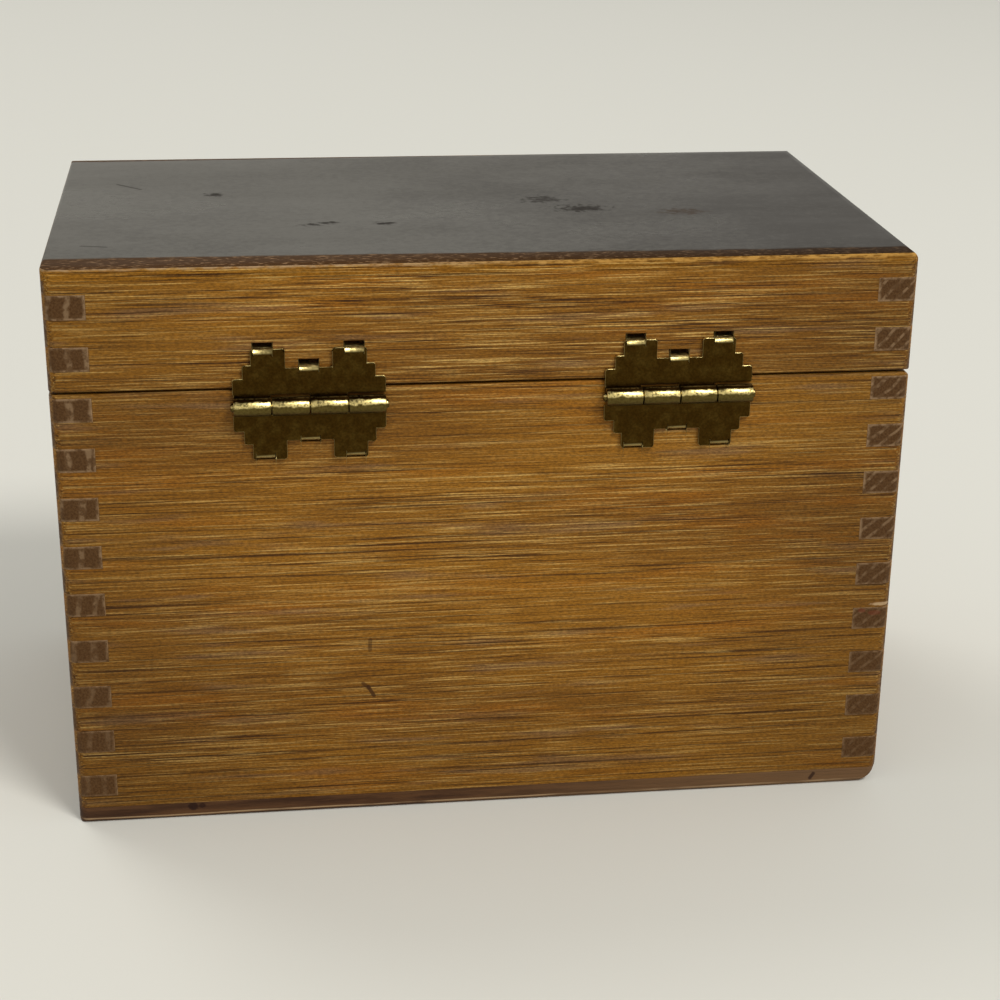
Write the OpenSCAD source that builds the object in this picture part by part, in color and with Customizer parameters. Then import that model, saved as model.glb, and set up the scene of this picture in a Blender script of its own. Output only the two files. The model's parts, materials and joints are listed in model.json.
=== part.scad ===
// Recipe card box for 3 by 5 inch cards: a finger jointed wooden box, sawn into a body and a lid,
// with thin plywood glued under the body and on top of the lid, and two stamped brass hinges behind.
// Millimetres. The front faces -Y, the hinges +Y, and the origin is the middle of the underside.

/* [Box] */
// Width of the box, left to right
box_w = 146; // [112:1:240]
// Depth of the box, front to back
box_d = 86; // [50:1:200]
// Height of the body, from the table to the saw cut
body_h = 79.6; // [40:0.2:140]
// Height of the lid, from the saw cut to the top
lid_h = 21; // [16:0.2:60]
// Gap left between the closed lid and the body
seam_gap = 0.4; // [0.2:0.1:1]

/* [Eased edges] */
// Radius of the four upright corners
corner_r = 1.8; // [0.6:0.2:6]
// Width of the soft slope along the top's front and back edges
crown_w = 4; // [2:0.2:8]
// Height that the top loses over that slope
crown_drop = 0.4; // [0.1:0.05:0.8]
// Radius of the underside's front and back edges
bottom_edge_r = 0.8; // [0.4:0.2:2.4]
// Radius of the top's left end, rubbed rounder than its right end
left_top_r = 2.6; // [0.4:0.1:4]
// Radius of the underside's left end, the most rubbed of all
left_foot_r = 4.8; // [0.4:0.1:6]
// Radius of the body's rim at its left end
left_rim_r = 1.5; // [0.1:0.1:3]
// Radius of the right end's upper and lower edges
right_end_r = 0.7; // [0.4:0.1:3]
// Radius of the other outer edges along the saw cut
seam_r = 0.4; // [0.1:0.1:1]

/* [Boards and panels] */
// Thickness of the front, back and side boards
board_t = 7; // [5.5:0.5:12]
// Thickness of the plywood panel on top of the lid
top_panel_t = 2.4; // [1.6:0.2:6]
// Thickness of the plywood panel under the body
bottom_panel_t = 3; // [1.6:0.2:6]

/* [Finger joints] */
// Height of one finger of a side board
finger_h = 4.2; // [2:0.1:8]
// Height of the space between two fingers, which the other board fills
finger_space = 4.5; // [2:0.1:8]
// Least height of wood above the top finger and below the bottom one
finger_margin = 2; // [1:0.2:6]

/* [Hinges] */
// Distance from the middle of the box to the middle of the left hinge
left_hinge_x = 32; // [18:0.2:52]
// Distance from the middle of the box to the middle of the right hinge
right_hinge_x = 30.4; // [18:0.2:52]
// Height of the saw cut above the hinge pins
pin_drop = 2.6; // [2.2:0.1:4]
// Width of a hinge, along its pin
hinge_w = 25.4; // [21:0.2:34]
// Knuckles on each pin, shared by the two leaves
knuckle_count = 4; // [2:2:8]
// Diameter of a hinge pin
pin_d = 1.5; // [1:0.1:2.4]
// Length of pin that stands out at each end of the barrel
pin_end = 0.4; // [0.2:0.1:1.5]
// Thickness of the brass sheet
sheet_t = 0.75; // [0.5:0.05:1]

/* [Leaf outline] */
// Height of the leaf's full width, from the pin
base_reach = 4.6; // [3.8:0.1:5.6]
// Height of the first step, from the pin
step_reach = 6.9; // [6.4:0.1:9]
// Height of the two lugs, from the pin
lug_reach = 9.6; // [8:0.1:14]
// Height of the notch between the lugs, from the pin
notch_reach = 6.3; // [5.8:0.1:6.8]
// Set-in of the first step from the leaf's end
step_inset = 1.7; // [0.8:0.1:3]
// Set-in of a lug from the first step's end
lug_inset = 1.4; // [0.4:0.1:2]
// Width of one lug
lug_w = 5.7; // [4.2:0.1:7]
// Height that the middle prong's bend stands above the notch
notch_bulge = 0.35; // [0.1:0.05:0.6]
// Radius of the corners of the stamping
stamp_r = 0.5; // [0.1:0.05:0.6]

/* [Prongs] */
// Width of one prong
prong_w = 3.3; // [2:0.1:4]
// Depth that a prong is driven into the board
prong_depth = 4.6; // [3:0.1:5]
// Inner radius of a prong's bend
bend_r = 0.35; // [0.2:0.05:0.8]
// Length of a prong's pointed tip
tip_l = 1.2; // [0.6:0.1:1.6]
// Set-in of a lug's prong from the lug's outer edge
prong_inset = 0.4; // [0.3:0.1:0.7]

/* [Clearances] */
// Gap all round the pin in its knuckles
pin_clearance = 0.05; // [0.02:0.01:0.1]
// Gap between two knuckles, and between a knuckle and the other leaf
knuckle_clearance = 0.2; // [0.1:0.05:0.4]
// Gap between the barrel and the wood behind it
barrel_clearance = 0.1; // [0.05:0.05:0.4]
// Gap between the lid's leaf and the body that it passes over
leaf_relief = 0.1; // [0.05:0.05:0.3]
// Gap round a prong in its slot
slot_clearance = 0.1; // [0.05:0.05:0.3]
// Open part of the lid's slots beyond the bends of their prongs
lid_slot_room = 0.95; // [0.1:0.05:1.2]
// Open part of the body's slots beyond the bends of their prongs
body_slot_room = 0.2; // [0.1:0.05:1.2]

/* [Hidden] */

$fn = 48;
// Sides of the large circle that shapes the crown of the top
crown_fn = 240;
// Overshoot of a cutting shape past the face that it cuts
past = 0.5;

lid_z = body_h + seam_gap;
box_h = lid_z + lid_h;
wall_bottom = bottom_panel_t;
wall_top = box_h - top_panel_t;
crown_r = (crown_w * crown_w + crown_drop * crown_drop) / (2 * crown_drop);

finger_pitch = finger_h + finger_space;
finger_room = wall_top - wall_bottom - finger_h - 2 * finger_margin;
finger_count = floor(finger_room / finger_pitch) + 1;
finger_run = (finger_count - 1) * finger_pitch;
first_finger_z = (wall_bottom + wall_top - finger_run) / 2;

bore_r = pin_d / 2 + pin_clearance;
knuckle_r = bore_r + sheet_t;
knuckle_pitch = hinge_w / knuckle_count;
knuckle_l = knuckle_pitch - knuckle_clearance;
pin_z = body_h + seam_gap / 2 - pin_drop;
// Distance of the pin's middle from the back of the box
pin_out = knuckle_r + barrel_clearance;
// Where the leaves meet the wood and where their outer faces lie, seen from the pin
plate_back = -pin_out;
plate_front = plate_back + sheet_t;
// Height at which a leaf stops short of the other leaf's knuckles
cut_back = knuckle_r + knuckle_clearance;
// Gap between the rolled end of the sheet and the plate
roll_slit = sheet_t / 6;

step_w = hinge_w - 2 * step_inset;
lug_x = step_w / 2 - lug_inset - lug_w / 2;
lug_prong_x = lug_x + lug_w / 2 - prong_inset - prong_w / 2;
notch_w = 2 * (lug_x - lug_w / 2);
bend_out = bend_r + sheet_t;
// Where the three prongs of a leaf start to bend back, seen from behind, from the pin
prong_roots = [
    [-lug_prong_x, lug_reach - bend_out],
    [lug_prong_x, lug_reach - bend_out],
    [0, notch_reach + notch_bulge - bend_out]
];

wood = [0.55, 0.36, 0.16];
end_wood = [0.47, 0.31, 0.16];
dark_ply = [0.24, 0.16, 0.11];
pale_ply = [0.40, 0.27, 0.15];
brass = [0.45, 0.38, 0.16];
pin_brass = [0.62, 0.54, 0.28];

// Flat rectangle with round corners, centred
module rounded_rect(w, h, r) {
    square([w - 2 * r, h], center = true);
    square([w, h - 2 * r], center = true);
    for (x = [-1, 1], y = [-1, 1])
        translate([x * (w / 2 - r), y * (h / 2 - r)])
            circle(r);
}

// Everything inside the box's upright corners, between two heights
module column(bottom, top) {
    translate([0, 0, bottom])
        linear_extrude(top - bottom)
            rounded_rect(box_w, box_d, corner_r);
}

// Flat rectangle, centred, with its own radius at each corner: left bottom, right bottom, right top, left top.
// A corner whose radius is 0 stays square
module eased_rect(w, h, radii) {
    corners = [[-1, -1], [1, -1], [1, 1], [-1, 1]];
    difference() {
        square([w, h], center = true);
        for (i = [0 : 3])
            if (radii[i] > 0)
                translate([corners[i].x * w / 2, corners[i].y * h / 2])
                    difference() {
                        square(2 * radii[i], center = true);
                        translate(-radii[i] * corners[i])
                            circle(radii[i]);
                    }
    }
}

// Flat rectangle, centred, round at its lower corners and sloping softly down to its upper ones
module crowned_rect(w, h, bottom_r) {
    difference() {
        eased_rect(w, h, [bottom_r, bottom_r, 0, 0]);
        for (end = [-1, 1])
            translate([end * w / 2, h / 2])
                difference() {
                    square([2 * crown_w, 2 * crown_drop], center = true);
                    translate([-end * crown_w, -crown_r])
                        circle(crown_r, $fn = crown_fn);
                }
    }
}

// A block of the box's outline between two heights, as deep as its end view, which is its child.
// The radii are those of the left end and the right end, below and above
module eased_block(bottom, top, below, above) {
    middle = (bottom + top) / 2;
    intersection() {
        column(bottom, top);
        translate([0, box_d / 2, middle])
            rotate([90, 0, 0])
                linear_extrude(box_d)
                    eased_rect(box_w, top - bottom, [below[0], below[1], above[1], above[0]]);
        translate([-box_w / 2, 0, middle])
            rotate([90, 0, 90])
                linear_extrude(box_w)
                    children();
    }
}

// The outer shape of the body, up to the saw cut
module body_block() {
    eased_block(0, body_h, [left_foot_r, right_end_r], [left_rim_r, seam_r])
        eased_rect(box_d, body_h, [bottom_edge_r, bottom_edge_r, seam_r, seam_r]);
}

// The outer shape of the lid, from the saw cut up
module lid_block() {
    eased_block(lid_z, box_h, [seam_r, seam_r], [left_top_r, right_end_r])
        crowned_rect(box_d, lid_h, seam_r);
}

// What of its children lies in the body's walls
module in_body() {
    intersection() {
        children();
        body_block();
        column(wall_bottom, body_h);
    }
}

// What of its children lies in the lid's walls
module in_lid() {
    intersection() {
        children();
        lid_block();
        column(lid_z, wall_top);
    }
}

// The fingers of one side board, as bars from the front of the box to the back
module fingers(side) {
    for (i = [0 : finger_count - 1])
        translate([side * (box_w - board_t) / 2, 0, first_finger_z + i * finger_pitch])
            cube([board_t, box_d, finger_h], center = true);
}

// A side board of the whole box, before it is sawn apart. side is -1 for left and 1 for right
module side_board(side) {
    translate([side * (box_w - board_t) / 2, 0, box_h / 2])
        cube([board_t, box_d - 2 * board_t, box_h], center = true);
    fingers(side);
}

// The front or back board of the whole box. face is -1 for front and 1 for back
module face_board(face) {
    difference() {
        translate([0, face * (box_d - board_t) / 2, box_h / 2])
            cube([box_w, board_t, box_h], center = true);
        fingers(-1);
        fingers(1);
    }
}

// Puts its children on the pin of one hinge
module at_hinge(x) {
    translate([x, box_d / 2 + pin_out, pin_z])
        children();
}

// Puts its children at the root of each of a leaf's three prongs
module at_prongs() {
    for (root = prong_roots)
        translate([root.x, 0, root.y])
            children();
}

// A prong, from the plate round its bend to the point in the wood. Its bend ends flush with the leaf's edge
module prong() {
    // The strip that leads out of the plate
    translate([-prong_w / 2, plate_back, -sheet_t])
        cube([prong_w, sheet_t, sheet_t]);
    // The bend
    intersection() {
        translate([0, plate_back - bend_r, 0])
            rotate([0, 90, 0])
                difference() {
                    cylinder(r = bend_out, h = prong_w, center = true);
                    cylinder(r = bend_r, h = prong_w + past, center = true);
                }
        translate([-prong_w, plate_back - bend_r, 0])
            cube([2 * prong_w, 2 * bend_out, 2 * bend_out]);
    }
    // The leg and its point
    translate([0, plate_back - bend_r, bend_r])
        linear_extrude(sheet_t)
            polygon([
                [-prong_w / 2, 0],
                [prong_w / 2, 0],
                [prong_w / 2, bend_r + tip_l - prong_depth],
                [sheet_t / 2, bend_r - prong_depth],
                [-sheet_t / 2, bend_r - prong_depth],
                [-prong_w / 2, bend_r + tip_l - prong_depth]
            ]);
}

// The slot that a prong is driven into, wider at its mouth for the bend and open beyond it by some room
module prong_slot(room) {
    slot_w = prong_w + 2 * slot_clearance;
    slot_depth = prong_depth + slot_clearance;
    mouth_depth = bend_r + slot_clearance;
    slot_top = bend_out + room;
    leg_bottom = bend_r - slot_clearance;
    translate([-slot_w / 2, plate_back - slot_depth, leg_bottom])
        cube([slot_w, slot_depth + past, slot_top - leg_bottom]);
    translate([-slot_w / 2, plate_back - mouth_depth, -slot_clearance])
        cube([slot_w, mouth_depth + past, slot_top + slot_clearance]);
}

// The stepped outline of both leaves, above and below the pin
module leaf_outline() {
    difference() {
        union() {
            rounded_rect(hinge_w, 2 * base_reach, stamp_r);
            rounded_rect(step_w, 2 * step_reach, stamp_r);
        }
        square([notch_w, 4 * step_reach], center = true);
    }
    square([notch_w + 2 * stamp_r, 2 * notch_reach], center = true);
    for (side = [-1, 1])
        translate([side * lug_x, 0])
            rounded_rect(lug_w, 2 * lug_reach, stamp_r);
}

// The flat part of the leaf above the pin, open where its prongs bend back
module plate_outline() {
    difference() {
        intersection() {
            leaf_outline();
            translate([-hinge_w, cut_back])
                square(2 * hinge_w);
        }
        for (root = prong_roots)
            translate([root.x - prong_w / 2, root.y])
                square([prong_w, 2 * bend_out]);
    }
}

// Places its children at every second knuckle, starting with one of the first two
module at_knuckles(first) {
    for (i = [first : 2 : knuckle_count - 1])
        translate([hinge_w / 2 - (i + 0.5) * knuckle_pitch, 0, 0])
            children();
}

// A leaf that stands up from the pin: its plate, rolled knuckles and prongs
module leaf(first_knuckle) {
    difference() {
        union() {
            translate([0, plate_front, 0])
                rotate([90, 0, 0])
                    linear_extrude(sheet_t)
                        plate_outline();
            at_knuckles(first_knuckle) {
                translate([-knuckle_l / 2, plate_back, 0])
                    cube([knuckle_l, sheet_t, cut_back + stamp_r]);
                rotate([0, 90, 0])
                    cylinder(r = knuckle_r, h = knuckle_l, center = true);
            }
            at_prongs() prong();
        }
        rotate([0, 90, 0])
            cylinder(r = bore_r, h = 2 * hinge_w, center = true);
        // The line where the rolled sheet comes back to the plate
        translate([-hinge_w, plate_front, knuckle_r / 2])
            cube([2 * hinge_w, roll_slit, knuckle_r]);
    }
}

// The lid's leaf, held just clear of the body below the saw cut
module upper_leaf() {
    cut_above_pin = lid_z - pin_z;
    difference() {
        leaf(0);
        translate([-hinge_w, plate_back - past, cut_above_pin - 2 * pin_out])
            cube([2 * hinge_w, past + leaf_relief, 2 * pin_out]);
    }
}

// The body's leaf hangs down from the pin
module lower_leaf() {
    mirror([0, 0, 1])
        leaf(1);
}

// A pin with its two ends eased
module hinge_pin() {
    ease = pin_end / 2;
    pin_l = hinge_w + 2 * pin_end;
    rotate([0, 90, 0]) {
        cylinder(d = pin_d, h = pin_l - 2 * ease, center = true);
        for (end = [0, 1])
            mirror([0, 0, end])
                translate([0, 0, pin_l / 2 - ease])
                    cylinder(d1 = pin_d, d2 = pin_d - 2 * ease, h = ease);
    }
}

module bottom_panel() {
    color(pale_ply)
        intersection() {
            body_block();
            column(0, wall_bottom);
        }
}

module body_back_board() {
    color(wood)
        difference() {
            in_body() face_board(1);
            for (x = [-left_hinge_x, right_hinge_x])
                at_hinge(x)
                    mirror([0, 0, 1])
                        at_prongs() prong_slot(body_slot_room);
        }
}

module body_front_board() {
    color(wood)
        in_body() face_board(-1);
}

module body_left_side() {
    color(end_wood)
        in_body() side_board(-1);
}

module body_right_side() {
    color(end_wood)
        in_body() side_board(1);
}

module lid_top_panel() {
    color(dark_ply)
        intersection() {
            lid_block();
            column(wall_top, box_h);
        }
}

module lid_back_board() {
    color(wood)
        difference() {
            in_lid() face_board(1);
            for (x = [-left_hinge_x, right_hinge_x])
                at_hinge(x)
                    at_prongs() prong_slot(lid_slot_room);
        }
}

module lid_front_board() {
    color(wood)
        in_lid() face_board(-1);
}

module lid_left_side() {
    color(end_wood)
        in_lid() side_board(-1);
}

module lid_right_side() {
    color(end_wood)
        in_lid() side_board(1);
}

module left_hinge_lower_leaf() {
    color(brass) at_hinge(-left_hinge_x) lower_leaf();
}

module left_hinge_upper_leaf() {
    color(brass) at_hinge(-left_hinge_x) upper_leaf();
}

module left_hinge_pin() {
    color(pin_brass) at_hinge(-left_hinge_x) hinge_pin();
}

module right_hinge_lower_leaf() {
    color(brass) at_hinge(right_hinge_x) lower_leaf();
}

module right_hinge_upper_leaf() {
    color(brass) at_hinge(right_hinge_x) upper_leaf();
}

module right_hinge_pin() {
    color(pin_brass) at_hinge(right_hinge_x) hinge_pin();
}

bottom_panel();
body_back_board();
body_front_board();
body_left_side();
body_right_side();
lid_top_panel();
lid_back_board();
lid_front_board();
lid_left_side();
lid_right_side();
left_hinge_lower_leaf();
left_hinge_upper_leaf();
left_hinge_pin();
right_hinge_lower_leaf();
right_hinge_upper_leaf();
right_hinge_pin();
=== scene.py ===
"""Looks of the recipe card box: wood, plywood and brass finishes, studio and camera.

Sizes are in metres, in the row frame: the front faces -Y, the hinges +Y, and +Z is up.
Inside the materials, places are in millimetres.
"""
import json
import math
from typing import NamedTuple

import bpy
from mathutils import Matrix, Vector


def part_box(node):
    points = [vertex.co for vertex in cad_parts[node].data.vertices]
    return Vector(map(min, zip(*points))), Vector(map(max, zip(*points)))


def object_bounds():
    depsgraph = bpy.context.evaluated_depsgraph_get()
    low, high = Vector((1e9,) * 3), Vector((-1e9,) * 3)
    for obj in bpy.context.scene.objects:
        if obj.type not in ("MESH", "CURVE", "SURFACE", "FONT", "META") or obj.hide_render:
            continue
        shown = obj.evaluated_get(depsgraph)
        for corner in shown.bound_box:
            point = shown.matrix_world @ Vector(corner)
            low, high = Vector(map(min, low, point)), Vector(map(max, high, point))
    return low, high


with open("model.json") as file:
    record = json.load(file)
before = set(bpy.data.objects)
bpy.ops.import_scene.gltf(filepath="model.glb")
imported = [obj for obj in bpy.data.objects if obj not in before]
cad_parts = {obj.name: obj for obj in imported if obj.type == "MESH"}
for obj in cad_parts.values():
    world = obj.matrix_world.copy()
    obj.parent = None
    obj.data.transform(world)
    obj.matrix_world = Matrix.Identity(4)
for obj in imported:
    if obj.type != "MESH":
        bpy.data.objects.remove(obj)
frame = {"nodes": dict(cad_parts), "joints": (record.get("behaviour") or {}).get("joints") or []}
cad_low, cad_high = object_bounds()

MM = 0.001

# Camera, fitted to the outline of the box in the photograph
CAMERA_PLACE = Vector((0.04176, 0.37738, 0.18595))
CAMERA_AZIMUTH = math.radians(171.9815)
CAMERA_ELEVATION = math.radians(22.3149)
CAMERA_ROLL = math.radians(-0.8271)
SENSOR_WIDTH = 36.0
FOCAL_SHARE = 2.0964
LENS_SHIFT = (-0.020, 0.060)
CLIP_NEAR = 0.01
CLIP_FAR = 50.0

# Studio
FLOOR_SIZE = 12.0
FLOOR_COLOUR = (0.66, 0.655, 0.60, 1)
FLOOR_ROUGHNESS = 0.9
FLOOR_SPECULAR = 0.2
BACKDROP_COLOUR = (0.64, 0.62, 0.56, 1)
BACKDROP_STRENGTH = 1.0
BACKDROP_TOP = math.radians(26)
CEILING_COLOUR = (0.10, 0.095, 0.085, 1)
CEILING_START = math.radians(50)
AMBIENT_COLOUR = (1.0, 0.99, 0.965, 1)
AMBIENT = 0.60
LAMPS = {
    "key": dict(place=(-0.75, 1.15, 1.75), size=0.7, power=26.0, colour=(1.0, 0.98, 0.95)),
    "front_fill": dict(place=(0.9, -1.2, 1.9), size=1.0, power=12.0, colour=(1.0, 0.985, 0.96)),
}

# Stained board
GOLDEN = (0.238, 0.100, 0.008, 1)
BROWN = (0.168, 0.068, 0.006, 1)
ORANGE = (0.272, 0.092, 0.004, 1)
GREYISH = (0.170, 0.094, 0.042, 1)
PALE_FIBRE = (0.50, 0.31, 0.090, 1)
DARK_FIBRE = (0.045, 0.015, 0.002, 1)
END_DARK = (0.058, 0.023, 0.004, 1)
END_LIGHT = (0.098, 0.046, 0.014, 1)
END_RAY = (0.240, 0.150, 0.078, 1)
WORN_WOOD = (0.360, 0.215, 0.105, 1)
SOOT = (0.020, 0.006, 0.003, 1)
RED_STAIN = (0.130, 0.030, 0.010, 1)

# Lid's dark top and the plywood edges
TOP_DARK = (0.010, 0.006, 0.004, 1)
# The grey of the top is a painted reflection of the backdrop, mixed over its dark colour
TOP_PAINTED_SHEEN = (0.074, 0.069, 0.058, 1)
TOP_BAND = (0.056, 0.022, 0.003, 1)
GOLD_EDGE = (0.500, 0.265, 0.060, 1)
PLY_CORE = (0.042, 0.017, 0.007, 1)
PLY_CORE_LIGHT = (0.095, 0.042, 0.016, 1)
PALE_VENEER = (0.420, 0.280, 0.150, 1)

# Brass: the dark tarnish is partly real and partly a painted reflection of the dark room; BRIGHT_BRASS gives
# the painted highlights and the paler side edges
DARK_TARNISH_AND_REFLECTION = (0.040, 0.020, 0.0030, 1)
DULL_BRASS = (0.085, 0.052, 0.010, 1)
OLIVE_FLOOR_REFLECTION = (0.140, 0.105, 0.030, 1)
BRIGHT_BRASS = (0.900, 0.730, 0.300, 1)

# Small rounded edges and the depth of the grain's relief
WELD_GAP = 0.002 * MM
BEVEL_ANGLE = math.radians(38)
BEVEL_SEGMENTS = 2
EDGE_SLOT = 1
EDGE_WIDTH = 0.12 * MM
TOP_EDGE_WIDTH = 0.10 * MM
PIN_EDGE_WIDTH = 0.05 * MM
RELIEF = 0.06 * MM

# Gloss of the wooden finishes
WOOD_SPECULAR = 0.15
TOP_SPECULAR = 0.10
BASE_ROUGHNESS = 0.55

# In a colour mix node, the sockets of the amount and the two colours, and of the result
MIX_INPUTS = (0, 6, 7)
MIX_RESULT = 2

# The value that a noise wanders round
NOISE_MIDDLE = 0.5


class Pattern(NamedTuple):
    """A noise drawn out along the grain, and the smooth step that is made of it.

    along and across are lumps per millimetre. The result is start where the noise is under low and end where
    it is over high.
    """

    along: float
    across: float
    low: float
    high: float
    start: float = 0.0
    end: float = 1.0
    detail: float = 2.0
    roughness: float = 0.5


# Long grain: broad tones, streaks, lines along the grain and a fine speckle
BROAD_TONE = Pattern(0.009, 0.06, 0.34, 0.64, detail=3.0, roughness=0.55)
ORANGE_STREAKS = Pattern(0.026, 0.27, 0.52, 0.70, end=0.45, roughness=0.6)
GREY_STREAKS = Pattern(0.032, 0.38, 0.55, 0.70, end=0.60, roughness=0.6)
LIVELINESS = Pattern(0.014, 0.09, 0.35, 0.62, start=0.70, end=1.10)
LONG_LINES = Pattern(0.022, 2.9, 0.30, 0.42, start=0.80, end=0.0, detail=1.0)
PALE_LINES = Pattern(0.050, 4.10, 0.57, 0.68, end=0.62, roughness=0.6)
SPECKLE = Pattern(1.3, 4.2, 0.30, 0.70, start=0.70, end=1.34, roughness=0.7)
SHORT_LINES = dict(along=0.080, across=5.3, roughness=0.6)
LONG_LINE_DEPTH = 0.6

# End grain: mottle, rings and the rubbed outline of a finger, and the boards' worn edges
END_MOTTLE = Pattern(1.0, 2.6, 0.34, 0.66, detail=3.0, roughness=0.7)
BROKEN_RINGS = Pattern(0.1, 0.9, 0.40, 0.62, start=0.1, end=0.7)
RUBBED_OUTLINE = Pattern(0.3, 0.9, 0.38, 0.60, start=0.15, end=0.95, detail=3.0)
RING_WANDER = dict(along=0.05, across=0.16)
RING_WANDER_AMOUNT = 0.8
WORN_EDGES = Pattern(0.25, 0.9, 0.36, 0.64, start=0.05, end=0.55, detail=3.0)

# The lid's top: its painted sheen, its rubbed back, its bare edge and its smears
SHEEN_CLOUDS = Pattern(0.035, 0.05, 0.3, 0.7, start=-0.10, end=0.16, detail=4.0)
SHEEN_GRIT = Pattern(0.9, 1.2, 0.3, 0.7, start=-0.26, end=0.26, detail=3.0, roughness=0.7)
BAND_SPECKS = Pattern(0.8, 2.6, 0.54, 0.68, end=0.45)
UNEVEN_LINE = Pattern(0.35, 0.4, 0.30, 0.62, start=0.45, end=1.35, detail=3.0, roughness=0.65)
LINE_GRIT = Pattern(0.7, 2.4, 0.32, 0.60, start=0.15, end=0.95, detail=3.0)
SMEARS = Pattern(0.02, 0.05, 0.3, 0.7, start=0.26, end=0.34, detail=5.0, roughness=0.6)
RAGGED_RUB = dict(along=0.12, across=0.5, detail=3.0)
RAGGED_RUB_WIDTH = 1.6
VENEER_LIGHTNESS = 1.25
MARK_ROUGHNESS = 0.35

# The bottom panel's edge: its dark core, and its pale veneer as low, high and soft width
CORE_STREAKS = Pattern(0.07, 0.8, 0.34, 0.68, detail=4.0, roughness=0.65)
VENEER_SHOWN = Pattern(0.08, 0.3, 0.38, 0.58, start=0.15, end=0.75, detail=3.0)
VENEER_WAVER = dict(along=0.05, across=0.2, detail=3.0)
VENEER_WAVER_HEIGHT = 0.5
VENEER_BAND = (0.85, 1.05, 0.12)

# Steps, each as low, high, and the values below low and above high. A pair goes from 0 to 1 in a step and
# from 1 to 0 in a fall. Places are in millimetres, and facings run from -1 to 1
FINE_DARK_LINES = (0.30, 0.46, 0.78, 0.0)
FINE_PALE_LINES = (0.56, 0.72, 0.0, 0.52)
RING_EDGE = (0.30, 0.95)
CLEARER_UPWARDS = (10.0, 75.0, 0.35, 1.0)
# Painted shade: the wood darkens towards the boards' ends and towards the foot, where the light falls off
SHADE_PAINTED_TO_ENDS = (30.0, 72.0, 1.04, 0.76)
SHADE_PAINTED_TO_FOOT = (0.0, 45.0, 0.84, 1.02)
END_FACING = (0.55, 0.85)
WOOD_ROUGHNESS = (0.2, 0.55, 0.60, 0.46)
TOP_FACING = (0.5, 0.8)
UNDER_FACING = (-0.8, -0.5)
SHEEN_ACROSS = (-65.0, 35.0, 0.0, 0.85)
LESS_RUB_IN_FRONT = (-10.0, 10.0, 2.4, 0.0)
RUB_WIDTH_ACROSS = (-60.0, 75.0, 0.0, 2.6)
RUB_EDGE = (1.6, 2.8)
BAND_ACROSS = (-70.0, 40.0, 0.45, 1.0)
LINE_DEPTH_ACROSS = (-30.0, 45.0, 0.55, 0.22)
LINE_EDGE = (-0.25, 0.35)
PALER_ACROSS = (-20.0, 30.0)
GREYER_ACROSS = (-60.0, 20.0, 0.65, 0.0)
FLAT_FACING = (0.6, 0.9)

# Brass: steps as above, bands as low, high and soft width, and angles in degrees round the pin
BRASS_CLOUDS = dict(per_millimetre=0.5, detail=4.0, roughness=0.6)
BRASS_GRIT = dict(per_millimetre=2.6, detail=3.0)
BRASS_POLISH = dict(per_millimetre=0.8, detail=3.0)
ACROSS_PIN = (0, 1, 1)
CLOUD_DULLNESS = (0.40, 0.75, 0.0, 0.55)
GRIT_LIGHTNESS = (0.30, 0.70, 0.80, 1.25)
BARREL_RADIUS = (1.62, 1.75)
RAGGED_ANGLE = dict(amount=34.0, per_millimetre=0.9, detail=3.0)
# Painted light on the barrel, by angle round the pin: the floor's reflection below, a highlight in a ragged
# line and a thin highlight along the top
FLOOR_REFLECTION_BELOW = (18.0, 40.0)
FLOOR_REFLECTION_GRIT = (0.25, 0.65, 0.35, 0.85)
HIGHLIGHT_BAND = (20.0, 42.0, 12.0)
HIGHLIGHT_GRIT = (0.28, 0.56, 0.25, 1.0)
RIM_HIGHLIGHT_BAND = (76.0, 86.0, 6.0)
RIM_HIGHLIGHT_GRIT = (0.35, 0.60, 0.0, 0.45)
POLISHED = (0.34, 0.54, 0.35, 0.85)
# Painted light on the plates: a highlight on up-facing faces and edges, a reflection of the floor on
# down-facing ones
UP_FACING_HIGHLIGHT = (0.12, 0.50)
DOWN_FACING_REFLECTION = (-0.60, -0.15, 0.45, 0.0)
SIDE_EDGES = (0.3, 0.7, 0.0, 0.30)
BRASS_ROUGHNESS = (0.3, 0.7, 0.28, 0.42)
BRASS_GRIT_RELIEF = 0.25

# Where the wood is cut from the tree, how lively the lid's narrow boards are, and the rings that end grain
# usually has: their lean in radians and the gap between them in millimetres
SEED_SHIFT = (37.0, 11.3, 23.7)
BACK_LID_SEED = 3.0
BASE_SEED = 9.0
LID_CONTRAST = 1.35
RING_LEAN = 0.9
RING_GAP = 1.8

# The finger joints: how flat a finger's end is, and how far in its rubbed outline starts and ends
END_FLATNESS = 0.01
OUTLINE_LEVELS = (0.55, 0.15)
OUTLINE_INNER_END = (0.2, 0.7)

# The back face, the top face, and the upper edge of the lid panel's own edge
BACK_Y = 43
TOP_Z = 101
CROWN_EDGE_Z = 100.6

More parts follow.
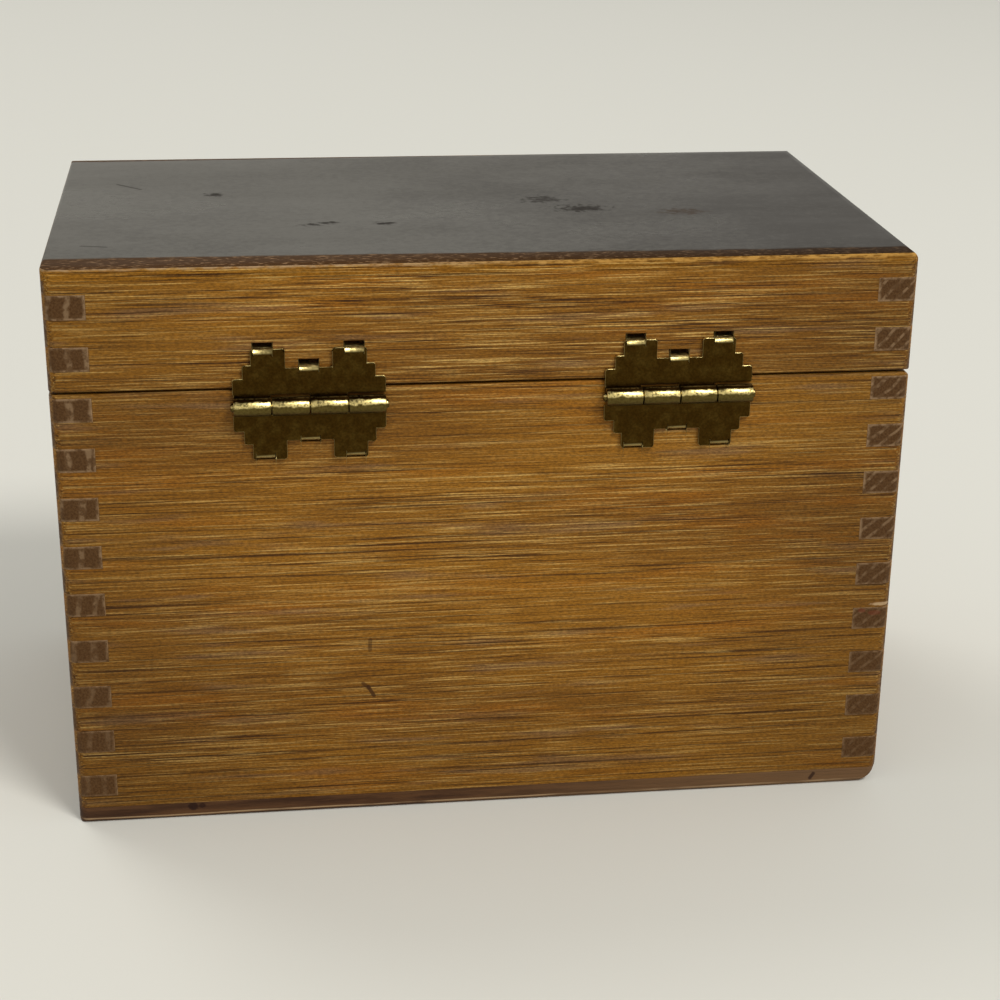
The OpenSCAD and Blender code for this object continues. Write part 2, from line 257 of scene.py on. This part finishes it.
# Marks: stains and smudges have a place and half sizes, and scratches two ends, then an amount and a colour
MARK_DEPTH = 2
SCRATCH_WIDTH = 0.45
PATCHES = {
    "stain": dict(core=0.55, lumps=2.2, ragged=0.5),
    "smudge": dict(core=0.10, lumps=0.8, ragged=2.4),
}
BACK_MARKS = (
    ("scratch", (20.9, BACK_Y, 33.4), (21.0, BACK_Y, 31.4), 0.60, DARK_FIBRE),
    ("scratch", (22.3, BACK_Y, 25.0), (21.3, BACK_Y, 24.0), 0.70, DARK_FIBRE),
    ("scratch", (21.4, BACK_Y, 24.3), (20.4, BACK_Y, 22.5), 0.85, DARK_FIBRE),
    ("stain", (-71.2, BACK_Y, 36.1), (2.6, MARK_DEPTH, 0.42), 0.95, PALE_VENEER),
)
LEFT_SIDE_MARKS = (
    ("stain", (-67.6, BACK_Y, 34.9), (0.9, MARK_DEPTH, 0.5), 0.70, RED_STAIN),
    ("stain", (-70.0, BACK_Y, 34.4), (1.5, MARK_DEPTH, 0.6), 0.60, RED_STAIN),
)
BASE_MARKS = (
    ("stain", (53.0, BACK_Y, 2.2), (1.1, MARK_DEPTH, 0.9), 0.90, SOOT),
    ("stain", (51.4, BACK_Y, 2.3), (0.8, MARK_DEPTH, 0.6), 0.80, SOOT),
    ("scratch", (-60.9, BACK_Y, 2.2), (-60.3, BACK_Y, 1.3), 0.80, SOOT),
)
TOP_MARKS = (
    ("smudge", (-38.5, 11.5, TOP_Z), (5.0, 3.0, MARK_DEPTH), 0.40, TOP_BAND),
    ("smudge", (-14.5, 0.0, TOP_Z), (4.4, 3.6, MARK_DEPTH), 0.60, TOP_DARK),
    ("smudge", (-20.5, 7.7, TOP_Z), (5.6, 3.6, MARK_DEPTH), 0.75, TOP_DARK),
    ("smudge", (28.4, 16.5, TOP_Z), (2.4, 1.4, MARK_DEPTH), 0.80, TOP_DARK),
    ("smudge", (25.1, 15.3, TOP_Z), (2.8, 1.4, MARK_DEPTH), 0.85, TOP_DARK),
    ("smudge", (15.5, 16.6, TOP_Z), (2.4, 1.4, MARK_DEPTH), 0.85, TOP_DARK),
    ("smudge", (45.0, -8.5, TOP_Z), (2.2, 2.2, MARK_DEPTH), 0.85, TOP_DARK),
    ("scratch", (63.0, -18.5, TOP_Z), (58.7, -14.0, TOP_Z), 0.45, TOP_DARK),
    ("scratch", (67.0, 29.0, TOP_Z), (63.0, 30.0, TOP_Z), 0.40, TOP_DARK),
)

# The boards: the way their grain runs, where they are cut from the tree, and what is special about each
BOARDS = {
    "body_back_board": dict(along="X", seed=1.0, marks=BACK_MARKS),
    "body_front_board": dict(along="X", seed=2.0),
    "lid_back_board": dict(along="X", seed=BACK_LID_SEED, contrast=LID_CONTRAST),
    "lid_front_board": dict(along="X", seed=4.0, contrast=LID_CONTRAST),
    "body_left_side": dict(along="Y", seed=5.0, ring_lean=0.85, marks=LEFT_SIDE_MARKS),
    "body_right_side": dict(along="Y", seed=6.0, ring_lean=0.12, ring_gap=3.2),
    "lid_left_side": dict(along="Y", seed=7.0, ring_lean=0.75),
    "lid_right_side": dict(along="Y", seed=8.0, ring_lean=0.05, ring_gap=3.0),
}


class Nodes:
    """Builds a node tree, so that the sky or a finish reads as a few lines."""

    def __init__(self, tree):
        self.tree = tree
        self.tree.nodes.clear()

    def feed(self, socket, value):
        if isinstance(value, bpy.types.NodeSocket):
            self.tree.links.new(value, socket)
        else:
            socket.default_value = value

    def node(self, kind, **inputs):
        """A new node, with its inputs by name, where an underscore stands for a space."""
        made = self.tree.nodes.new(kind)
        for name, value in inputs.items():
            self.feed(made.inputs[name.replace("_", " ")], value)
        return made

    def math(self, operation, first, second=0.0, third=0.0):
        made = self.node("ShaderNodeMath")
        made.operation = operation
        for socket, value in zip(made.inputs, (first, second, third)):
            self.feed(socket, value)
        return made.outputs[0]

    def add(self, first, second):
        return self.math("ADD", first, second)

    def less(self, first, second):
        return self.math("SUBTRACT", first, second)

    def times(self, first, second):
        return self.math("MULTIPLY", first, second)

    def size(self, value):
        """A number without its sign."""
        return self.math("ABSOLUTE", value)

    def larger(self, first, second):
        return self.math("MAXIMUM", first, second)

    def vector(self, operation, first, second=(0, 0, 0)):
        made = self.node("ShaderNodeVectorMath")
        made.operation = operation
        self.feed(made.inputs[0], first)
        self.feed(made.inputs[1], second)
        return made.outputs["Value" if operation in ("DOT_PRODUCT", "LENGTH") else "Vector"]

    def scale(self, vector, factor):
        """A place or a colour times a number."""
        made = self.vector("SCALE", vector)
        self.feed(made.node.inputs["Scale"], factor)
        return made

    def split(self, vector):
        return self.node("ShaderNodeSeparateXYZ", Vector=vector).outputs

    def step(self, value, low, high, start=0.0, end=1.0):
        """A smooth step: start below low, end above high."""
        made = self.node(
            "ShaderNodeMapRange", Value=value, From_Min=low, From_Max=high, To_Min=start, To_Max=end
        )
        made.interpolation_type = "SMOOTHSTEP"
        return made.outputs["Result"]

    def fall(self, value, low, high):
        """A smooth step down: 1 below low, 0 above high."""
        return self.step(value, low, high, 1.0, 0.0)

    def band(self, value, low, high, soft):
        """1 between low and high, falling to 0 over the soft width beyond them."""
        return self.times(self.step(value, low - soft, low), self.fall(value, high, high + soft))

    def noise(self, point, detail=2.0, roughness=0.5):
        made = self.node("ShaderNodeTexNoise", Vector=point, Scale=1.0, Detail=detail, Roughness=roughness)
        return made.outputs["Fac"]

    def mix(self, amount, first, second):
        made = self.node("ShaderNodeMix")
        made.data_type = "RGBA"
        for number, value in zip(MIX_INPUTS, (amount, first, second)):
            self.feed(made.inputs[number], value)
        return made.outputs[MIX_RESULT]


class Shader(Nodes):
    """Builds one material, whose places are in millimetres."""

    def __init__(self, name):
        self.material = bpy.data.materials.new(name)
        self.material.use_nodes = True
        super().__init__(self.material.node_tree)
        coordinates = self.node("ShaderNodeTexCoord").outputs
        self.place = self.scale(coordinates["Object"], 1 / MM)
        self.x, self.y, self.z = self.split(self.place)
        self.facing = coordinates["Normal"]

    def lumps(self, per_millimetre, detail=2.0, roughness=0.5):
        """A noise of even lumps."""
        return self.noise(self.scale(self.place, per_millimetre), detail, roughness)

    def wobble(self, amount, per_millimetre, detail=2.0):
        """A number that wanders to both sides of 0, in even lumps."""
        return self.times(self.less(self.lumps(per_millimetre, detail), NOISE_MIDDLE), amount)

    def grain_noise(self, point, along, across, detail=2.0, roughness=0.5):
        """A noise with this many lumps per millimetre along and across the grain."""
        return self.noise(self.vector("MULTIPLY", point, (along, across, across)), detail, roughness)

    def pattern(self, point, shape, strength=1.0):
        """The stepped noise that a Pattern describes, with its two values times the strength."""
        field = self.grain_noise(point, shape.along, shape.across, shape.detail, shape.roughness)
        return self.step(field, shape.low, shape.high, shape.start * strength, shape.end * strength)

    def patch(self, centre, half_sizes, core, lumps, ragged):
        """A ragged patch round a place: 1 in its core and 0 past its half sizes."""
        offset = self.vector("DIVIDE", self.vector("SUBTRACT", self.place, centre), half_sizes)
        reach = self.add(self.vector("LENGTH", offset), self.wobble(ragged, lumps))
        return self.fall(reach, core, 1.0)

    def scratch(self, start, end):
        """A thin mark from one place to another: 1 along its middle and 0 past its width."""
        start, end = Vector(start), Vector(end)
        axis = end - start
        offset = self.vector("SUBTRACT", self.place, start)
        share = self.times(self.vector("DOT_PRODUCT", offset, axis), 1 / axis.length_squared)
        share.node.use_clamp = True
        gap = self.vector("LENGTH", self.vector("SUBTRACT", offset, self.scale(axis, share)))
        return self.fall(gap, SCRATCH_WIDTH / 2, SCRATCH_WIDTH)

    def finish(self, colour, roughness, relief=None, **settings):
        """Ends the material in a Principled shader. The relief is a height, if there is one."""
        if relief is not None:
            settings["Normal"] = self.node("ShaderNodeBump", Height=relief, Distance=RELIEF).outputs["Normal"]
        made = self.node("ShaderNodeBsdfPrincipled", Base_Color=colour, Roughness=roughness, **settings)
        self.node("ShaderNodeOutputMaterial", Surface=made.outputs[0])
        return self.material


def grain_point(shader, along, seed):
    """The place turned so that the grain runs along its first axis, moved to another part of the tree."""
    order = (shader.x, shader.y, shader.z) if along == "X" else (shader.y, shader.x, shader.z)
    joined = shader.node("ShaderNodeCombineXYZ", X=order[0], Y=order[1], Z=order[2]).outputs[0]
    return shader.vector("ADD", joined, tuple(seed * shift for shift in SEED_SHIFT))


def long_grain(shader, point, contrast=1.0):
    """Colour and height of stained long grain."""
    colour = shader.mix(shader.pattern(point, BROAD_TONE), BROWN, GOLDEN)
    colour = shader.mix(shader.pattern(point, ORANGE_STREAKS), colour, ORANGE)
    colour = shader.mix(shader.pattern(point, GREY_STREAKS), colour, GREYISH)

    lively = shader.pattern(point, LIVELINESS, contrast)
    long_lines = shader.times(shader.pattern(point, LONG_LINES), lively)
    colour = shader.mix(long_lines, colour, DARK_FIBRE)
    short_lines = shader.grain_noise(point, **SHORT_LINES)
    finer_lines = (
        (shader.step(short_lines, *FINE_DARK_LINES), DARK_FIBRE),
        (shader.pattern(point, PALE_LINES), PALE_FIBRE),
        (shader.step(short_lines, *FINE_PALE_LINES), PALE_FIBRE),
    )
    for amount, fibre in finer_lines:
        colour = shader.mix(shader.times(amount, lively), colour, fibre)
    colour = shader.scale(colour, shader.pattern(point, SPECKLE))

    height = shader.less(short_lines, shader.times(long_lines, LONG_LINE_DEPTH))
    return colour, height


def end_grain(shader, point, across, ring_lean, ring_gap, finger):
    """Colour of a finger's end: rings cut across, pale rays and a pale rubbed outline."""
    colour = shader.mix(shader.pattern(point, END_MOTTLE), END_DARK, END_LIGHT)
    lean = shader.vector("DOT_PRODUCT", point, (0.0, math.cos(ring_lean), math.sin(ring_lean)))
    wander = shader.times(shader.grain_noise(point, **RING_WANDER), RING_WANDER_AMOUNT)
    ring = shader.add(shader.times(lean, 1 / ring_gap), wander)
    wave = shader.step(shader.math("SINE", shader.times(ring, math.tau)), *RING_EDGE)
    clear = shader.step(shader.z, *CLEARER_UPWARDS)
    rays = shader.times(shader.times(wave, shader.pattern(point, BROKEN_RINGS)), clear)
    colour = shader.mix(rays, colour, END_RAY)

    middle, pitch, height, inner_end = finger
    lift = shader.math("WRAP", shader.less(shader.z, middle - pitch / 2), pitch, 0.0)
    from_middle = shader.size(shader.less(lift, pitch / 2))
    levels = shader.step(from_middle, *(height / 2 - inwards for inwards in OUTLINE_LEVELS))
    inner = shader.fall(shader.size(across), *(inner_end + outwards for outwards in OUTLINE_INNER_END))
    outline = shader.times(shader.larger(levels, inner), shader.pattern(point, RUBBED_OUTLINE))
    return shader.mix(shader.times(outline, clear), colour, END_RAY)


def finger_layout(node, along):
    """One whole finger's middle, the fingers' pitch and height, and how far in they start, in millimetres."""
    side = frame["nodes"][node.split("_")[0] + "_left_side"]
    places = [vertex.co / MM for vertex in side.data.vertices]
    back = max(place.y for place in places)
    levels = sorted({round(place.z, 1) for place in places if back - place.y < END_FLATNESS})
    bottom, top, next_bottom = levels[:3]
    middle, pitch, height = (bottom + top) / 2, next_bottom - bottom, top - bottom
    if along == "X":
        middle, height = middle + pitch / 2, pitch - height
    thickness_axis = 1 if along == "X" else 0
    inner_end = min(abs(corner[thickness_axis]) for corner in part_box(node)) / MM
    return middle, pitch, height, inner_end


def add_marks(shader, colour, marks):
    """The colour with its marks, and where they are."""
    marked = 0.0
    for shape, first, second, amount, stain in marks:
        if shape == "scratch":
            where = shader.scratch(first, second)
        else:
            where = shader.patch(first, second, **PATCHES[shape])
        where = shader.times(where, amount)
        colour = shader.mix(where, colour, stain)
        marked = shader.larger(marked, where)
    return colour, marked


def board_finish(
    name, along, seed, finger, contrast=1.0, ring_lean=RING_LEAN, ring_gap=RING_GAP, worn=False, marks=()
):
    """Stained and varnished board whose grain runs along X or Y, with painted shade towards its ends and its
    foot.
    """
    shader = Shader(name)
    point = grain_point(shader, along, seed)
    colour, height = long_grain(shader, point, contrast)
    lengthwise, across = (shader.x, shader.y) if along == "X" else (shader.y, shader.x)
    # Painted shade: darker towards the ends and the foot of the board
    colour = shader.scale(colour, shader.step(shader.size(lengthwise), *SHADE_PAINTED_TO_ENDS))
    colour = shader.scale(colour, shader.step(shader.z, *SHADE_PAINTED_TO_FOOT))

    grain_axis = (1, 0, 0) if along == "X" else (0, 1, 0)
    facing = shader.size(shader.vector("DOT_PRODUCT", shader.facing, grain_axis))
    rings = end_grain(shader, point, across, ring_lean, ring_gap, finger)
    colour = shader.mix(shader.step(facing, *END_FACING), colour, rings)
    if worn:
        colour = shader.mix(shader.pattern(point, WORN_EDGES), colour, WORN_WOOD)
    colour, _ = add_marks(shader, colour, marks)
    roughness = shader.step(height, *WOOD_ROUGHNESS)
    return shader.finish(colour, roughness, height, Specular_IOR_Level=WOOD_SPECULAR)


def dark_top(shader, point):
    """The dark finish, with a painted sheen of the backdrop's reflection that grows towards +X in patchy
    clouds, and a few marks. Also gives where the marks are.
    """
    # Painted reflection: the grey sheen, strongest towards +X, broken into clouds and grit
    painted_sheen = shader.add(shader.step(shader.x, *SHEEN_ACROSS), shader.pattern(point, SHEEN_CLOUDS))
    painted_sheen = shader.add(painted_sheen, shader.pattern(point, SHEEN_GRIT))
    return add_marks(shader, shader.mix(painted_sheen, TOP_DARK, TOP_PAINTED_SHEEN), TOP_MARKS)


def rubbed_border(shader, point, back_y):
    """The brown band where the finish is rubbed down to the wood, and where it is.

    It runs along the back, widest towards +X, and less along the front.
    """
    inwards = shader.less(back_y, shader.size(shader.y))
    inwards = shader.add(inwards, shader.step(shader.y, *LESS_RUB_IN_FRONT))
    ragged = shader.times(shader.grain_noise(point, **RAGGED_RUB), RAGGED_RUB_WIDTH)
    width = shader.add(shader.step(shader.x, *RUB_WIDTH_ACROSS), ragged)
    rubbed = shader.fall(shader.less(inwards, width), *RUB_EDGE)
    band = shader.mix(shader.pattern(point, BAND_SPECKS), TOP_BAND, WORN_WOOD)
    return shader.scale(band, shader.step(shader.x, *BAND_ACROSS)), rubbed


def bare_edge(shader, point, wood):
    """The panel's edge, bare in a line: thin and pale towards +X, broader and golden towards -X."""
    below = shader.less(CROWN_EDGE_Z, shader.z)
    depth = shader.times(shader.step(shader.x, *LINE_DEPTH_ACROSS), shader.pattern(point, UNEVEN_LINE))
    line = shader.fall(shader.less(below, depth), *LINE_EDGE)
    bare = shader.mix(shader.step(shader.x, *PALER_ACROSS), GOLD_EDGE, PALE_VENEER)
    return shader.mix(shader.times(line, shader.pattern(point, LINE_GRIT)), wood, bare)


def top_finish(name):
    """The lid's panel: dark and smooth on top, stained wood at its edges, plain veneer below."""
    shader = Shader(name)
    point = grain_point(shader, "X", BACK_LID_SEED)
    wood, height = long_grain(shader, point, LID_CONTRAST)
    _, _, face_up = shader.split(shader.facing)
    up = shader.step(face_up, *TOP_FACING)

    top, marked = dark_top(shader, point)
    band, rubbed = rubbed_border(shader, point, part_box("lid_top_panel")[1].y / MM)
    top = shader.mix(rubbed, top, band)
    colour = shader.mix(up, bare_edge(shader, point, wood), top)
    veneer = shader.scale(wood, VENEER_LIGHTNESS)
    colour = shader.mix(shader.fall(face_up, *UNDER_FACING), colour, veneer)

    dull = shader.times(shader.larger(rubbed, marked), MARK_ROUGHNESS)
    roughness = shader.add(shader.pattern(point, SMEARS), dull)
    relief = shader.times(height, shader.less(1.0, up))
    return shader.finish(colour, roughness, relief, Specular_IOR_Level=TOP_SPECULAR)


def base_finish(name):
    """The body's bottom panel: a pale veneer line near the table, a dark core above it."""
    shader = Shader(name)
    point = grain_point(shader, "X", BASE_SEED)
    veneer, height = long_grain(shader, point)
    core = shader.mix(shader.pattern(point, CORE_STREAKS), PLY_CORE, PLY_CORE_LIGHT)
    core = shader.mix(shader.step(shader.x, *GREYER_ACROSS), core, GREYISH)
    waver = shader.times(shader.grain_noise(point, **VENEER_WAVER), VENEER_WAVER_HEIGHT)
    pale = shader.band(shader.add(shader.z, waver), *VENEER_BAND)
    edge = shader.mix(shader.times(pale, shader.pattern(point, VENEER_SHOWN)), core, PALE_VENEER)
    edge, _ = add_marks(shader, edge, BASE_MARKS)
    _, _, face_up = shader.split(shader.facing)
    colour = shader.mix(shader.step(shader.size(face_up), *FLAT_FACING), edge, veneer)
    return shader.finish(colour, BASE_ROUGHNESS, height, Specular_IOR_Level=WOOD_SPECULAR)


def barrel_colour(shader, angle, grit):
    """The barrel: dark above, a painted highlight in a ragged line, a painted reflection of the floor below
    it, and a thin painted highlight along its top.
    """
    around = shader.add(angle, shader.wobble(**RAGGED_ANGLE))
    # Painted reflection of the floor below, and painted highlights in a ragged line and along the top
    floor_reflection = shader.times(shader.fall(around, *FLOOR_REFLECTION_BELOW), shader.step(grit, *FLOOR_REFLECTION_GRIT))
    highlight_line = shader.times(shader.band(around, *HIGHLIGHT_BAND), shader.step(grit, *HIGHLIGHT_GRIT))
    rim_highlight = shader.times(shader.band(angle, *RIM_HIGHLIGHT_BAND), shader.step(grit, *RIM_HIGHLIGHT_GRIT))
    colour = shader.mix(floor_reflection, DARK_TARNISH_AND_REFLECTION, OLIVE_FLOOR_REFLECTION)
    colour = shader.mix(highlight_line, colour, BRIGHT_BRASS)
    return shader.mix(rim_highlight, colour, BRIGHT_BRASS)


def brass_finish(name):
    """Brass, tarnished dark and darkened further as a painted reflection of the dark room, with painted
    light: highlights and a reflection of the floor round the barrel, a highlight on faces and edges that face
    up, a paler reflection on those that face down, and paler side edges.
    """
    shader = Shader(name)
    pin = Vector(frame["joints"][0]["pos_m"]) / MM
    offset = shader.vector("MULTIPLY", shader.vector("SUBTRACT", shader.place, tuple(pin)), ACROSS_PIN)
    _, out, up = shader.split(offset)
    angle = shader.times(shader.math("ARCTAN2", up, out), math.degrees(1))
    cloud = shader.lumps(**BRASS_CLOUDS)
    grit = shader.lumps(**BRASS_GRIT)
    # Dark tarnish, also standing in for a painted reflection of the dark room
    colour = shader.mix(shader.step(cloud, *CLOUD_DULLNESS), DARK_TARNISH_AND_REFLECTION, DULL_BRASS)
    colour = shader.scale(colour, shader.step(grit, *GRIT_LIGHTNESS))

    face_across, _, face_up = shader.split(shader.facing)
    polish = shader.step(shader.lumps(**BRASS_POLISH), *POLISHED)
    # Painted highlight on faces and edges that face up, in patches, and a painted reflection of the floor on
    # those that face down
    up_highlight = shader.times(shader.step(face_up, *UP_FACING_HIGHLIGHT), polish)
    down_reflection = shader.step(face_up, *DOWN_FACING_REFLECTION)
    sideways = shader.step(shader.size(face_across), *SIDE_EDGES)
    colour = shader.mix(shader.larger(up_highlight, shader.larger(down_reflection, sideways)), colour, BRIGHT_BRASS)

    barrel = shader.fall(shader.vector("LENGTH", offset), *BARREL_RADIUS)
    colour = shader.mix(barrel, colour, barrel_colour(shader, angle, grit))
    roughness = shader.step(grit, *BRASS_ROUGHNESS)
    relief = shader.add(cloud, shader.times(grit, BRASS_GRIT_RELIEF))
    return shader.finish(colour, roughness, relief, Metallic=1.0)


def dress(node, face, edge, width, clamp=False):
    """Gives a CAD node its finish, and rounds its edges a little in a second finish.

    With clamp, the rounding narrows where the faces are too small for it.
    """
    piece = frame["nodes"][node]
    piece.material_slots[0].material = face
    piece.data.materials.append(edge)
    weld = piece.modifiers.new("weld", "WELD")
    weld.merge_threshold = WELD_GAP
    bevel = piece.modifiers.new("eased_edges", "BEVEL")
    bevel.width = width
    bevel.segments = BEVEL_SEGMENTS
    bevel.limit_method = "ANGLE"
    bevel.angle_limit = BEVEL_ANGLE
    bevel.material = EDGE_SLOT
    bevel.harden_normals = True
    bevel.use_clamp_overlap = clamp


def dress_boards():
    for node, looks in BOARDS.items():
        finger = finger_layout(node, looks["along"])
        face = board_finish(f"{node}_wood", finger=finger, **looks)
        edge = board_finish(f"{node}_worn_edge", finger=finger, worn=True, **looks)
        dress(node, face, edge, EDGE_WIDTH, clamp=looks["along"] == "X")


def dress_panels():
    top = top_finish("lid_top_panel_finish")
    dress("lid_top_panel", top, top, TOP_EDGE_WIDTH)
    base = base_finish("bottom_panel_finish")
    dress("bottom_panel", base, base, EDGE_WIDTH)


def dress_hinges():
    brass = brass_finish("aged_brass")
    for side in ("left", "right"):
        for leaf in ("upper_leaf", "lower_leaf"):
            dress(f"{side}_hinge_{leaf}", brass, brass, EDGE_WIDTH)
        dress(f"{side}_hinge_pin", brass, brass, PIN_EDGE_WIDTH)


def camera_turn(azimuth, elevation, roll):
    """Turns a camera's axes: azimuth 0 looks along +Y, elevation looks down, roll turns the picture."""
    back = Vector((
        math.sin(azimuth) * math.cos(elevation),
        -math.cos(azimuth) * math.cos(elevation),
        math.sin(elevation),
    ))
    level = Vector((0, 0, 1)).cross(back).normalized()
    up = back.cross(level)
    right = level * math.cos(roll) - up * math.sin(roll)
    up = back.cross(right)
    return Matrix((right, up, back)).transposed().to_4x4()


def put_in_scene(name, data):
    made = bpy.data.objects.new(name, data)
    bpy.context.scene.collection.objects.link(made)
    return made


def make_camera():
    data = bpy.data.cameras.new("camera")
    data.sensor_width = SENSOR_WIDTH
    data.lens = FOCAL_SHARE * SENSOR_WIDTH
    data.shift_x, data.shift_y = LENS_SHIFT
    data.clip_start = CLIP_NEAR
    data.clip_end = CLIP_FAR
    camera = put_in_scene("camera", data)
    turn = camera_turn(CAMERA_AZIMUTH, CAMERA_ELEVATION, CAMERA_ROLL)
    camera.matrix_world = Matrix.Translation(CAMERA_PLACE) @ turn
    bpy.context.scene.camera = camera


def make_lamp(name, place, aim, size, power, colour):
    data = bpy.data.lights.new(name, "AREA")
    data.shape = "DISK"
    data.size = size
    data.energy = power
    data.color = colour
    lamp = put_in_scene(name, data)
    lamp.location = place
    lamp.rotation_euler = (aim - Vector(place)).to_track_quat("-Z", "Y").to_euler()


def make_lamps():
    centre = (cad_low + cad_high) / 2
    for name, settings in LAMPS.items():
        make_lamp(name, aim=centre, **settings)


def make_floor():
    mesh = bpy.data.meshes.new("floor")
    half = FLOOR_SIZE / 2
    corners = [(-half, -half, 0), (half, -half, 0), (half, half, 0), (-half, half, 0)]
    mesh.from_pydata(corners, [], [(0, 1, 2, 3)])
    floor = put_in_scene("floor", mesh)
    shader = Shader("pale_floor")
    mesh.materials.append(shader.finish(FLOOR_COLOUR, FLOOR_ROUGHNESS, Specular_IOR_Level=FLOOR_SPECULAR))


def make_sky():
    """Soft light from all round. The camera and reflections see a pale backdrop and a dark ceiling."""
    world = bpy.data.worlds.new("sky")
    bpy.context.scene.world = world
    world.use_nodes = True
    sky = Nodes(world.node_tree)
    ray = sky.node("ShaderNodeLightPath").outputs
    seen = sky.larger(ray["Is Camera Ray"], sky.larger(ray["Is Glossy Ray"], ray["Is Transmission Ray"]))
    ambient = sky.node("ShaderNodeBackground", Color=AMBIENT_COLOUR, Strength=AMBIENT)

    _, _, height = sky.split(sky.node("ShaderNodeTexCoord").outputs["Generated"])
    upwards = sky.step(height, math.sin(BACKDROP_TOP), math.sin(CEILING_START))
    walls = sky.mix(upwards, BACKDROP_COLOUR, CEILING_COLOUR)
    backdrop = sky.node("ShaderNodeBackground", Color=walls, Strength=BACKDROP_STRENGTH)

    shown = sky.node("ShaderNodeMixShader")
    for socket, value in zip(shown.inputs, (seen, ambient.outputs[0], backdrop.outputs[0])):
        sky.feed(socket, value)
    sky.node("ShaderNodeOutputWorld", Surface=shown.outputs[0])


make_camera()
make_lamps()
make_floor()
make_sky()
bpy.context.scene.view_settings.view_transform = "Standard"
dress_boards()
dress_panels()
dress_hinges()
